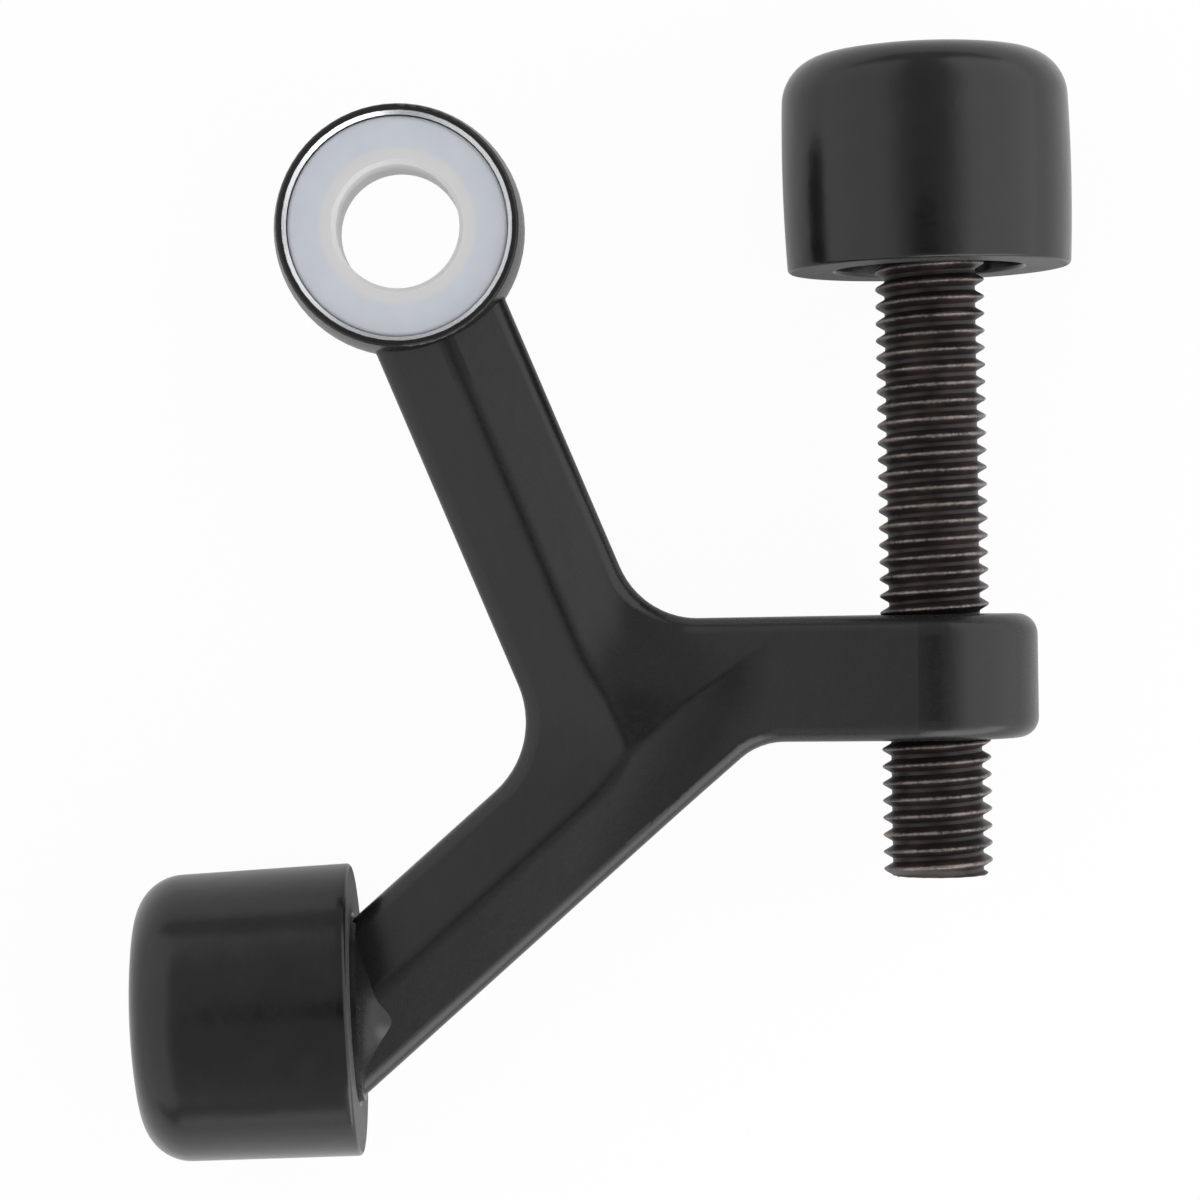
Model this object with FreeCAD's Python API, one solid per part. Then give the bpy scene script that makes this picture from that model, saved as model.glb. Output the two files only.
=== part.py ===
import FreeCAD, Part
import math
import os

# Hinge pin door stop: a Y-shaped casting whose eye sits on a hinge pin, with a fixed rubber
# bumper on its lower arm and a second bumper on an adjusting screw in the boss of its right arm.
# Millimetres. The origin is the centre of the pin bore at half height. +Z is the pin's axis,
# +Y the screw's axis towards its bumper, and +X runs along the right arm to the boss.

# Eye of the casting, a crowned ring around the hinge pin
eye_mid_radius = 9.18
eye_rim_radius = 8.82
eye_height = 8.6
eye_edge_round = 0.22
eye_recess_depth = 0.55
eye_recess_chamfer = 0.28

# Nylon bushings, one flanged half from each side of the eye
pin_bore_radius = 4.5
pin_bore_chamfer = 0.3
bushing_hub_wall = 1.05
bushing_flange_radius = 8.0
bushing_flange_thickness = 1.3
bushing_fit_clearance = 0.05
bushing_joint_gap = 0.05
bushing_edge_round = 0.3

# Skeleton of the three arms
upper_arm_angle = -67.7
upper_arm_reach = 42.6
lower_arm_angle = 221.1
lower_arm_reach = 26.8
right_arm_drop = 33.29
upper_arm_width = 10.24
lower_arm_width = 10.14
right_arm_width = 9.06

# Roof-shaped section of the arms: a rounded ridge and two slopes on each face, all blended
ridge_thickness = 7.4
roof_slope_angle = 16.0
roof_reach = 8.0
roof_crease_round = 2.4
arm_edge_round = 1.5
ramp_reach = 12.0

# Round corners where the arms meet, seen along the pin
corner_upper_right = 6.2
corner_upper_lower = 6.95
corner_lower_right = 4.74
eye_root_round = 1.3

# Boss for the adjusting screw, a short barrel around the screw's axis
screw_offset = 38.79
boss_radius = 7.5
boss_hole_chamfer = 0.5

# Adjusting screw with the disc head that the bumper is pulled over
thread_major_radius = 4.0
thread_root_radius = 3.323
thread_lead = 1.25
thread_crest_share = 0.125
thread_root_share = 0.25
thread_crest_y = -38.3
thread_clearance = 0.06
screw_shank_length = 48.0
screw_end_chamfer = 0.8
screw_extension = 25.32

# Rubber bumper, the same for the screw and for the fixed stud
bumper_length = 16.4
bumper_shoulder_radius = 10.46
screw_bumper_belly = 0.14
screw_bumper_rim_radius = 10.37
fixed_bumper_rim_radius = 10.68
screw_bumper_lean = 0.8
bumper_corner_radius = 3.5
bumper_dome_radius = 45.0
bumper_lip_depth = 3.4
bumper_mouth_radius = 6.85
bumper_rim_round = 0.3

# Disc heads that hold the bumpers
head_radius = 8.0
head_thickness = 3.0
head_edge_round = 0.5
head_side_clearance = 0.06
head_end_clearance = 0.05

# Stud at the end of the lower arm
stud_axis_angle = 182.0
stud_neck_clearance = 0.12
stud_flare_land = 0.35
stud_flare_radius = 3.6
stud_root_radius = 2.9
stud_root_length = 0.6
stud_root_taper = 1.5

X_AXIS = FreeCAD.Vector(1, 0, 0)
Y_AXIS = FreeCAD.Vector(0, 1, 0)
Z_AXIS = FreeCAD.Vector(0, 0, 1)
ORIGIN = FreeCAD.Vector(0, 0, 0)
SAME_POINT = 1e-6
UPRIGHT_NORMAL = 0.5
UPRIGHT_TURN = 0.05
CREASE_ROOM = 2.3


def direction(angle):
    """Unit vector in the XY plane at an angle in degrees from +X."""
    turn = math.radians(angle)
    return FreeCAD.Vector(math.cos(turn), math.sin(turn), 0)


def left_of(vector):
    """The vector turned a quarter turn to its left in the XY plane."""
    return FreeCAD.Vector(-vector.y, vector.x, 0)


def crossing(point, along, other_point, other_along):
    """Where two lines in the XY plane cross."""
    gap = other_point - point
    share = gap.cross(other_along).z / along.cross(other_along).z
    return point + along * share


def rounded_wire(corners):
    """Closed wire through corners, each a point and the radius of its rounding, 0 for sharp."""
    edges = []
    ends = []
    count = len(corners)
    for index, (point, radius) in enumerate(corners):
        before = (corners[index - 1][0] - point).normalize()
        after = (corners[(index + 1) % count][0] - point).normalize()
        if radius == 0:
            ends.append((point, point, None))
            continue
        half = before.getAngle(after) / 2
        reach = radius / math.tan(half)
        middle_line = (before + after).normalize()
        centre = point + middle_line * (radius / math.sin(half))
        ends.append((point + before * reach, point + after * reach, centre - middle_line * radius))
    for index, (start, finish, middle) in enumerate(ends):
        if middle is not None:
            edges.append(Part.Arc(start, middle, finish).toShape())
        following = ends[(index + 1) % count][0]
        if (following - finish).Length > SAME_POINT:
            edges.append(Part.LineSegment(finish, following).toShape())
    return Part.Wire(edges)


def turned(edges, centre, axis):
    """Solid of revolution of a closed profile."""
    return Part.Face(Part.Wire(edges)).revolve(centre, axis, 360)


def line(start, finish):
    """Straight edge."""
    return Part.LineSegment(start, finish).toShape()


def arc(start, middle, finish):
    """Round edge through three points."""
    return Part.Arc(start, middle, finish).toShape()


# Skeleton: where the arms' centre lines start, end and cross
upper_direction = direction(upper_arm_angle)
lower_direction = direction(lower_arm_angle)
right_direction = X_AXIS
heel = upper_direction * upper_arm_reach
stud_seat = heel + lower_direction * lower_arm_reach
right_line_point = FreeCAD.Vector(0, -right_arm_drop, 0)
upper_right_crossing = crossing(ORIGIN, upper_direction, right_line_point, right_direction)
lower_right_crossing = crossing(heel, lower_direction, right_line_point, right_direction)
boss_centre = FreeCAD.Vector(screw_offset, -right_arm_drop, 0)
stud_direction = direction(stud_axis_angle)
stud_face = left_of(stud_direction)

# Fits worked out from the sizes above
eye_bore_radius = pin_bore_radius + bushing_hub_wall + bushing_fit_clearance
eye_recess_radius = bushing_flange_radius + bushing_fit_clearance
flange_face_z = eye_height / 2 - eye_recess_depth
flange_back_z = flange_face_z - bushing_flange_thickness
boss_height = right_arm_width
boss_hole_radius = thread_major_radius + thread_clearance
boss_top_y = boss_centre.y + boss_height / 2
screw_bumper_rim_y = boss_top_y + screw_extension
lean_rise = math.sin(math.radians(screw_bumper_lean))
head_end_gap = head_end_clearance + head_radius * lean_rise
groove_radius = head_radius + head_side_clearance + head_thickness * lean_rise
groove_width = head_thickness + 2 * head_end_gap
stud_neck_radius = bumper_mouth_radius - stud_neck_clearance
head_start = bumper_lip_depth + head_end_gap


def eye_radius_at(height):
    """Outer radius of the crowned eye at a height above its middle."""
    half = eye_height / 2 - eye_edge_round
    return eye_mid_radius - (eye_mid_radius - eye_rim_radius) * (height / half) ** 2


def eye_root(side):
    """Corners of one root of the upper arm: where its rounding leaves the eye, and its own."""
    across = left_of(upper_direction) * side
    offset = upper_arm_width / 2 + eye_root_round
    reach = eye_radius_at(ridge_thickness / 2) + eye_root_round
    centre = upper_direction * math.sqrt(reach ** 2 - offset ** 2) + across * offset
    touch = centre * (1 - eye_root_round / reach)
    corner = crossing(across * (upper_arm_width / 2), upper_direction, touch, left_of(touch))
    return [(touch, 0), (corner, eye_root_round)]


def arm_plan():
    """Outline of the three arms in the XY plane, rounded where they meet."""
    upper_side = left_of(upper_direction) * (upper_arm_width / 2)
    lower_side = left_of(lower_direction) * (lower_arm_width / 2)
    right_side = FreeCAD.Vector(0, right_arm_width / 2, 0)
    plan_end = boss_centre + right_direction * (2 * boss_radius)
    seat_left = crossing(heel + lower_side, lower_direction, stud_seat, stud_face)
    seat_right = crossing(heel - lower_side, lower_direction, stud_seat, stud_face)
    corners = [
        *eye_root(1),
        (crossing(upper_side, upper_direction, right_line_point + right_side, right_direction),
         corner_upper_right),
        (plan_end + right_side, 0),
        (plan_end - right_side, 0),
        (crossing(right_line_point - right_side, right_direction, heel + lower_side, lower_direction),
         corner_lower_right),
        (seat_left, 0),
        (seat_right, 0),
        (crossing(heel - lower_side, lower_direction, -upper_side, upper_direction),
         corner_upper_lower),
        *reversed(eye_root(-1)),
    ]
    return Part.Face(rounded_wire(corners))


def roof(start, finish):
    """Wide bar with the arms' roof section on both faces, from one skeleton point to another."""
    along = (finish - start).normalize()
    across = left_of(along)
    top = ridge_thickness / 2
    eaves = top - roof_reach * math.tan(math.radians(roof_slope_angle))
    corners = [(roof_reach, -eaves), (roof_reach, eaves), (0, top),
               (-roof_reach, eaves), (-roof_reach, -eaves), (0, -top)]
    points = [start + across * side + Z_AXIS * height for side, height in corners]
    section = Part.Face(Part.makePolygon(points + [points[0]]))
    return section.extrude(finish - start)


def boss_and_ramp():
    """Barrel of the boss and the ramp that rises to it from the ridge's height, as one wide bar."""
    top = ridge_thickness / 2
    run = boss_centre.x - lower_right_crossing.x
    slope = math.atan2(-top, run) + math.asin(boss_radius / math.hypot(run, top))
    front = boss_centre.y - ramp_reach
    touch = (boss_centre.x - boss_radius * math.sin(slope), boss_radius * math.cos(slope))
    foot = FreeCAD.Vector(lower_right_crossing.x - top / math.tan(slope), front, 0)
    upper_touch = FreeCAD.Vector(touch[0], front, touch[1])
    lower_touch = FreeCAD.Vector(touch[0], front, -touch[1])
    profile = Part.Wire([
        line(foot, upper_touch),
        arc(upper_touch, FreeCAD.Vector(boss_centre.x + boss_radius, front, 0), lower_touch),
        line(lower_touch, foot),
    ])
    return Part.Face(profile).extrude(Y_AXIS * (2 * ramp_reach))


def arms():
    """The three arms as one solid, before their ends are added.

    The rounding of the creases is held to what the shortest of them has room for.
    """
    thickness = Z_AXIS * ridge_thickness
    plan = arm_plan()
    plan.translate(-Z_AXIS * (2 * boss_radius))
    block = plan.extrude(Z_AXIS * (4 * boss_radius))
    far_lower = stud_seat + lower_direction * lower_arm_width
    triangle = Part.Face(Part.makePolygon([heel, lower_right_crossing, upper_right_crossing, heel]))
    triangle.translate(-thickness / 2)
    cover = roof(ORIGIN, heel).fuse([
        roof(upper_right_crossing, lower_right_crossing),
        roof(lower_right_crossing, far_lower),
        triangle.extrude(thickness),
        boss_and_ramp(),
    ])
    body = block.common(cover).removeSplitter().Solids[0]
    creases = [edge for edge in body.Edges if not upright_normals(edge, body)]
    crease_limit = CREASE_ROOM * min(edge.Length for edge in creases)
    body = body.makeFillet(min(roof_crease_round, crease_limit), creases).Solids[0]
    rims = [edge for edge in body.Edges if is_plan_rim(edge, body)]
    return body.makeFillet(arm_edge_round, rims)


def upright_normals(edge, body):
    """Normals of those of an edge's faces that stand upright, none for a ridge or a valley."""
    point = edge.valueAt(edge.FirstParameter)
    faces = body.ancestorsOfType(edge, Part.Face)
    normals = [face.normalAt(*face.Surface.parameter(point)) for face in faces]
    return [normal for normal in normals if abs(normal.z) < UPRIGHT_NORMAL]


def is_plan_rim(edge, body):
    """True for an edge between a long side of the arms and a roof face, not at an arm's end."""
    normals = upright_normals(edge, body)
    ends = (upper_direction, stud_direction, right_direction)
    return len(normals) == 1 and all(normals[0].cross(end).Length > UPRIGHT_TURN for end in ends)


def revolved(centre, axis, outline):
    """Solid turned about an axis.

    The outline is a closed run of (along, out) pairs measured from the centre. A pair of the
    form ("arc", middle, finish) is a round stretch that ends at its last pair.
    """
    side = Z_AXIS if axis.z == 0 else X_AXIS

    def place(pair):
        return centre + axis * pair[0] + side * pair[1]

    start = place(outline[0])
    here = start
    edges = []
    for step in outline[1:]:
        if step[0] == "arc":
            finish = place(step[2])
            edges.append(arc(here, place(step[1]), finish))
        else:
            finish = place(step)
            edges.append(line(here, finish))
        here = finish
    edges.append(line(here, start))
    return turned(edges, centre, axis)


def corner_arc(centre, radius, begin, finish):
    """Round stretch of an outline about an (along, out) centre, angles from the along axis."""
    middle = (begin + finish) / 2
    points = []
    for angle in (middle, finish):
        turn = math.radians(angle)
        points.append((centre[0] + radius * math.cos(turn), centre[1] + radius * math.sin(turn)))
    return ("arc", points[0], points[1])


def eye_blank():
    """Crowned ring of the eye before it is bored, as a solid disc."""
    top = eye_height / 2
    edge = eye_edge_round
    return revolved(ORIGIN, Z_AXIS, [
        (-top, 0),
        (-top, eye_rim_radius - edge),
        corner_arc((-top + edge, eye_rim_radius - edge), edge, 180, 90),
        ("arc", (0, eye_mid_radius), (top - edge, eye_rim_radius)),
        corner_arc((top - edge, eye_rim_radius - edge), edge, 90, 0),
        (top, 0),
    ])


def eye_cavity():
    """Space inside the eye: the bore for the hubs and a chamfered recess for each flange."""
    top = eye_height / 2
    mouth = eye_recess_radius + eye_recess_chamfer
    return revolved(ORIGIN, Z_AXIS, [
        (-top, 0),
        (-top, mouth),
        (-top + eye_recess_chamfer, eye_recess_radius),
        (-flange_back_z, eye_recess_radius),
        (-flange_back_z, eye_bore_radius),
        (flange_back_z, eye_bore_radius),
        (flange_back_z, eye_recess_radius),
        (top - eye_recess_chamfer, eye_recess_radius),
        (top, mouth),
        (top, 0),
    ])


def boss_hole():
    """Hole for the screw, chamfered at both ends."""
    half = boss_height / 2
    mouth = boss_hole_radius + boss_hole_chamfer
    return revolved(boss_centre, Y_AXIS, [
        (-half, 0),
        (-half, mouth),
        (-half + boss_hole_chamfer, boss_hole_radius),
        (half - boss_hole_chamfer, boss_hole_radius),
        (half, mouth),
        (half, 0),
    ])


def head_outline(start):
    """Outline of a disc head that starts at a given distance along its axis."""
    finish = start + head_thickness
    edge = head_edge_round
    return [
        (start, head_radius - edge),
        corner_arc((start + edge, head_radius - edge), edge, 180, 90),
        (finish - edge, head_radius),
        corner_arc((finish - edge, head_radius - edge), edge, 90, 0),
        (finish, 0),
    ]


def stud():
    """Round stud of the lower arm: a flare from the arm, a neck and a disc head."""
    land = -stud_flare_land
    flare = stud_flare_radius
    root = stud_root_radius
    return revolved(stud_seat, stud_direction, [
        (land - flare - stud_root_length, 0),
        (land - flare - stud_root_length, root - stud_root_taper),
        (land - flare, root),
        corner_arc((land - flare, root + flare), flare, -90, 0),
        (land, stud_neck_radius),
        (head_start, stud_neck_radius),
        *head_outline(head_start),
    ])


def bracket_casting():
    """Eye, arms, boss and stud, cast in one piece and then bored."""
    blank = arms().fuse([eye_blank(), stud()]).removeSplitter()
    return blank.cut([eye_cavity(), boss_hole()])


def pin_bushing(side):
    """Flanged nylon half of the pin bore, on the +Z side of the eye or on the -Z side."""
    hub_radius = pin_bore_radius + bushing_hub_wall
    edge = bushing_edge_round
    start = bushing_joint_gap / 2
    return revolved(ORIGIN, Z_AXIS * side, [
        (start, pin_bore_radius),
        (start, hub_radius),
        (flange_back_z, hub_radius),
        (flange_back_z, bushing_flange_radius),
        (flange_face_z - edge, bushing_flange_radius),
        corner_arc((flange_face_z - edge, bushing_flange_radius - edge), edge, 90, 0),
        (flange_face_z, pin_bore_radius + pin_bore_chamfer),
        (flange_face_z - pin_bore_chamfer, pin_bore_radius),
    ])


def thread_outline(start, finish):
    """Outline of the thread's crests and roots between two heights on the screw's axis."""
    crest_half = thread_lead * thread_crest_share / 2
    root_half = thread_lead * thread_root_share / 2
    points = []
    height = thread_crest_y + thread_lead * math.ceil((start - thread_crest_y) / thread_lead + 0.5)
    while height + thread_lead / 2 < finish:
        points += [
            (height - crest_half, thread_major_radius),
            (height + crest_half, thread_major_radius),
            (height + thread_lead / 2 - root_half, thread_root_radius),
            (height + thread_lead / 2 + root_half, thread_root_radius),
        ]
        height += thread_lead
    return points


def adjusting_screw():
    """Screw from the chamfered end of its thread to its disc head."""
    axis_foot = FreeCAD.Vector(screw_offset, 0, 0)
    under_head = screw_bumper_rim_y + head_start
    tip = under_head - screw_shank_length
    thread = thread_outline(tip + screw_end_chamfer, under_head)
    rod = revolved(axis_foot, Y_AXIS, [
        (tip, 0),
        (tip, thread_root_radius),
        (thread[0][0], thread_major_radius),
        *thread[1:],
        (under_head, thread_root_radius),
        (under_head, 0),
    ])
    head = revolved(axis_foot, Y_AXIS, [(under_head, 0), *head_outline(under_head)])
    return rod.fuse(head).removeSplitter()


def bumper(rim_centre, axis, rim_radius, belly):
    """Rubber cap, from the centre of its open rim along its axis to its domed end.

    The belly is how far its side bulges past a straight line. A cap that is stretched tight over
    its stud has none.
    """
    corner = bumper_corner_radius
    dome_centre = bumper_length - bumper_dome_radius
    corner_out = bumper_shoulder_radius - corner
    corner_along = dome_centre + math.sqrt((bumper_dome_radius - corner) ** 2 - corner_out ** 2)
    lean = math.degrees(math.atan2(corner_out, corner_along - dome_centre))
    dome_half = math.radians(lean / 2)
    edge = bumper_rim_round
    groove_end = bumper_lip_depth + groove_width
    shoulder = (corner_along, bumper_shoulder_radius)
    middle = (corner_along / 2, (rim_radius + bumper_shoulder_radius) / 2 + belly)
    return revolved(rim_centre, axis, [
        (groove_end, 0),
        (groove_end, groove_radius),
        (bumper_lip_depth, groove_radius),
        (bumper_lip_depth, bumper_mouth_radius),
        (edge, bumper_mouth_radius),
        corner_arc((edge, bumper_mouth_radius + edge), edge, -90, -180),
        (0, rim_radius - edge),
        corner_arc((edge, rim_radius - edge), edge, 180, 90),
        ("arc", middle, shoulder) if belly else shoulder,
        corner_arc((corner_along, corner_out), corner, 90, lean),
        ("arc", (dome_centre + bumper_dome_radius * math.cos(dome_half),
                 bumper_dome_radius * math.sin(dome_half)), (bumper_length, 0)),
    ])


if __name__ == "__main__":
    os.makedirs("parts", exist_ok=True)
    pieces = {
        "bracket_casting": bracket_casting(),
        "upper_pin_bushing": pin_bushing(1),
        "lower_pin_bushing": pin_bushing(-1),
        "adjusting_screw": adjusting_screw(),
        "screw_bumper": bumper(FreeCAD.Vector(screw_offset, screw_bumper_rim_y, 0),
                               direction(90 + screw_bumper_lean), screw_bumper_rim_radius,
                               screw_bumper_belly),
        "fixed_bumper": bumper(stud_seat, stud_direction, fixed_bumper_rim_radius, 0),
    }
    for name, shape in pieces.items():
        shape.exportStep(f"parts/{name}.step")
        print(name, "valid" if shape.isValid() else "NOT VALID", "solids:", len(shape.Solids),
              "volume:", round(shape.Volume, 1))
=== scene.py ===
"""Looks of a hinge pin door stop: satin black casting, nylon bushings, rubber bumpers and a steel screw.

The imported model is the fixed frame. The casting and the two bushings keep their meshes and get their
finishes here. The screw is made again with its thread cut, and the two bumpers with their moulded
lips. Everything is in metres, with +Z along the hinge pin and +Y along the adjusting screw.
"""

from __future__ import annotations

import logging
import math
from dataclasses import dataclass
from enum import Enum
from typing import Any

import bmesh
import bpy
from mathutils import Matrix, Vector, noise

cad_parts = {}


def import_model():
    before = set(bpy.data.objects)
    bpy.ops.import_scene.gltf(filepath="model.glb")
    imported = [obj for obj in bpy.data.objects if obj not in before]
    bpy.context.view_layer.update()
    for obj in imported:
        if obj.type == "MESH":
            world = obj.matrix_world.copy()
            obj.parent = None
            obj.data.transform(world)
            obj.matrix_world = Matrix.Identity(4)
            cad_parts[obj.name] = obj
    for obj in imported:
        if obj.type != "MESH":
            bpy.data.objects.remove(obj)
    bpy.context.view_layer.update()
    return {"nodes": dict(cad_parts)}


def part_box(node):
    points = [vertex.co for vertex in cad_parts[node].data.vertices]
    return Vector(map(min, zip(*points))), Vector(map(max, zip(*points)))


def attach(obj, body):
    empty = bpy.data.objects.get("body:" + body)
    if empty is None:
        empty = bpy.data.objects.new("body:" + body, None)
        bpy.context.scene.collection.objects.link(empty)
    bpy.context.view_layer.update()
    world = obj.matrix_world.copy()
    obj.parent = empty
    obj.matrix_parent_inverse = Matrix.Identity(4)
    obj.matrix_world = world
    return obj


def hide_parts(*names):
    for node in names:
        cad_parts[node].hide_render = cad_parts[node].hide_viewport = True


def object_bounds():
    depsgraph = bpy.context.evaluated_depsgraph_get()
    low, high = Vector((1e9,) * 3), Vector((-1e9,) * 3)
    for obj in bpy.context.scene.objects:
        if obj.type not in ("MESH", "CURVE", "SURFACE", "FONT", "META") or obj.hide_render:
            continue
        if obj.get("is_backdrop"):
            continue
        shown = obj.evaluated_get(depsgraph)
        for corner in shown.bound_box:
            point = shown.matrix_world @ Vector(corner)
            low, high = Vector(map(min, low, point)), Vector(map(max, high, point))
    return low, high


MM = 0.001
FULL_TURN = 2 * math.pi
Spot = tuple[float, float]
Value = "Signal | float"
log = logging.getLogger("door_stop")


class Node(Enum):
    """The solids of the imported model."""

    CASTING = "bracket_casting"
    UPPER_BUSHING = "upper_pin_bushing"
    LOWER_BUSHING = "lower_pin_bushing"
    SCREW = "adjusting_screw"
    SCREW_BUMPER = "screw_bumper"
    FIXED_BUMPER = "fixed_bumper"


class Body(Enum):
    """The bodies that the solids move with."""

    BRACKET = "bracket"
    SLIDING_BUMPER = "sliding_bumper"
    SCREW = "screw"


class Slot(Enum):
    """Material slot names that the pieces made here carry."""

    STEEL = "black_oxide_steel"
    RUBBER = "black_rubber"


@dataclass(frozen=True)
class Signal:
    """A number or vector on its way between nodes. Arithmetic on it adds Math nodes."""

    sheet: NodeSheet
    socket: bpy.types.NodeSocket | None

    def maths(self, operation: str, *values: Value, first: float | None = None) -> Signal:
        """Add a Math node.

        Args:
            operation: Name of the Math node's operation.
            values: What goes into its other sockets.
            first: Number for its first socket, where this signal is the second.

        Returns:
            The node's result.
        """
        ordered = [self, *values] if first is None else [first, self, *values]
        return self.sheet.node("ShaderNodeMath", dict(enumerate(ordered)), operation=operation)

    def __add__(self, other: Value) -> Signal:
        """Sum."""
        return self.maths("ADD", other)

    __radd__ = __add__

    def __sub__(self, other: Value) -> Signal:
        """Difference."""
        return self.maths("SUBTRACT", other)

    def __rsub__(self, other: float) -> Signal:
        """Difference from a number."""
        return self.maths("SUBTRACT", first=other)

    def __mul__(self, other: Value) -> Signal:
        """Product."""
        return self.maths("MULTIPLY", other)

    __rmul__ = __mul__

    def __truediv__(self, other: Value) -> Signal:
        """Quotient."""
        return self.maths("DIVIDE", other)

    def __neg__(self) -> Signal:
        """Negative."""
        return self.maths("MULTIPLY", -1.0)

    def __abs__(self) -> Signal:
        """Size without sign."""
        return self.maths("ABSOLUTE")

    def at_least(self, other: Value) -> Signal:
        """The larger of the two."""
        return self.maths("MAXIMUM", other)

    def at_most(self, other: Value) -> Signal:
        """The smaller of the two."""
        return self.maths("MINIMUM", other)

    def softly_at_least(self, other: Value, reach: Value) -> Signal:
        """The larger of the two, rounded where they differ by less than a reach."""
        return self.maths("SMOOTH_MAX", other, reach)

    def softly_at_most(self, other: Value, reach: Value) -> Signal:
        """The smaller of the two, rounded where they differ by less than a reach."""
        return self.maths("SMOOTH_MIN", other, reach)

    def diagonal(self, other: Signal) -> Signal:
        """Length of the diagonal over the two."""
        return (self.maths("POWER", 2.0) + other.maths("POWER", 2.0)).maths("SQRT")

    def along(self, way: Vector) -> Signal:
        """Part of a vector along a way, times the way's length."""
        return self.sheet.node("ShaderNodeVectorMath", {0: self, 1: way}, 1, operation="DOT_PRODUCT")

    def ramp(self, start: float, finish: float, low: float = 0.0, high: float = 1.0) -> Signal:
        """A smooth step, or with start above finish its mirror image.

        Args:
            start: Value at which the step leaves low.
            finish: Value at which it reaches high.
            low: Result before the step.
            high: Result after it.

        Returns:
            The stepped signal.
        """
        if start > finish:
            start, finish, low, high = finish, start, high, low
        return self.sheet.node(
            "ShaderNodeMapRange", {"Value": self, "From Min": start, "From Max": finish,
                                   "To Min": low, "To Max": high}, interpolation_type="SMOOTHSTEP")


class NodeSheet:
    """A node tree, with one method that adds nodes to it."""

    def __init__(self, tree: bpy.types.NodeTree) -> None:
        """Work on a tree, from empty."""
        self.tree = tree
        tree.nodes.clear()

    def node(self, kind: str, inputs: dict[str | int, Any] | None = None, output: str | int = 0,
             **settings: Any) -> Signal:
        """Add a node.

        Args:
            kind: Type of the node.
            inputs: Value or signal for each socket, by name or place.
            output: Name or place of the result that is wanted.
            settings: Its settings, set before its sockets.

        Returns:
            The wanted result.
        """
        made = self.tree.nodes.new(kind)
        for name, value in settings.items():
            setattr(made, name, value)
        for key, value in (inputs or {}).items():
            socket = made.inputs[key]
            if isinstance(value, Signal):
                self.tree.links.new(value.socket, socket)
            else:
                socket.default_value = value
        return Signal(self, made.outputs[output] if len(made.outputs) else None)

    def place(self) -> Signal:
        """Object coordinates of the shaded point, in metres."""
        return self.node("ShaderNodeTexCoord", output="Object")

    def axes(self, vector: Signal) -> list[Signal]:
        """A vector's three parts."""
        parts = self.node("ShaderNodeSeparateXYZ", {0: vector}).socket.node.outputs
        return [Signal(self, part) for part in parts]

    def vector(self, *parts: Value) -> Signal:
        """Vector of three parts."""
        return self.node("ShaderNodeCombineXYZ", dict(enumerate(parts)))

    def off_axis(self, centre: Vector) -> Signal:
        """Distance of the shaded point from the upright axis through a centre."""
        along_x, along_y, _ = self.axes(self.place())
        return (along_x - centre.x).diagonal(along_y - centre.y)

    def attribute(self, name: str) -> Signal:
        """A number that the piece carries on its vertices."""
        return self.node("ShaderNodeAttribute", output="Fac", attribute_name=name)

    def ray_is(self, kind: str) -> Signal:
        """1 for one kind of ray and 0 for the others."""
        return self.node("ShaderNodeLightPath", output=f"Is {kind} Ray")

    def grain(self, size: float, detail: float = 2.0, roughness: float = 0.5) -> Signal:
        """Noise from 0 to 1 at the shaded point, with features of a size in metres."""
        return self.node("ShaderNodeTexNoise", {"Vector": self.place(), "Scale": 1.0 / size,
                                                "Detail": detail, "Roughness": roughness})

    def blend(self, share: Signal, low: Any, high: Any) -> Signal:
        """Colour between two colours."""
        return self.node("ShaderNodeMix", {0: share, 6: low, 7: high}, 2, data_type="RGBA")

    def blend_normals(self, share: Signal, low: Signal, high: Signal) -> Signal:
        """Normal between two normals."""
        return self.node("ShaderNodeMix", {0: share, 4: low, 5: high}, 1, data_type="VECTOR")

    def bump(self, height: Signal, distance: float, below: Signal | None = None) -> Signal:
        """Normal of a relief of a height times a distance, laid on the surface or on a normal below."""
        base = {} if below is None else {"Normal": below}
        return self.node("ShaderNodeBump", {"Height": height, "Distance": distance, **base})

    def glow(self, strength: Value) -> Signal:
        """White light of a strength."""
        return self.node("ShaderNodeEmission", {"Color": WHITE, "Strength": strength})


def heading(angle: float) -> Vector:
    """Unit vector at an angle in degrees from +X, seen along the pin."""
    turn = math.radians(angle)
    return Vector((math.cos(turn), math.sin(turn), 0.0))


def colour(red: float, green: float, blue: float) -> tuple[float, float, float, float]:
    """Opaque linear colour."""
    return (red, green, blue, 1.0)


WHITE = colour(1.0, 1.0, 1.0)


class Finish:
    """Base of the finishes: a named material with one principled shader."""

    name = "finish"

    def shader_inputs(self, sheet: NodeSheet) -> dict[str, Any]:
        """Values and signals for the principled shader's sockets."""
        raise NotImplementedError

    def surface(self, sheet: NodeSheet) -> Signal:
        """Shader of the material, made on its sheet."""
        return sheet.node("ShaderNodeBsdfPrincipled", self.shader_inputs(sheet))

    def material(self) -> bpy.types.Material:
        """Make the material.

        Returns:
            A material with its nodes built.
        """
        made = bpy.data.materials.new(self.name)
        made.use_nodes = True
        sheet = NodeSheet(made.node_tree)
        sheet.node("ShaderNodeOutputMaterial", {"Surface": self.surface(sheet)})
        return made


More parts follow.
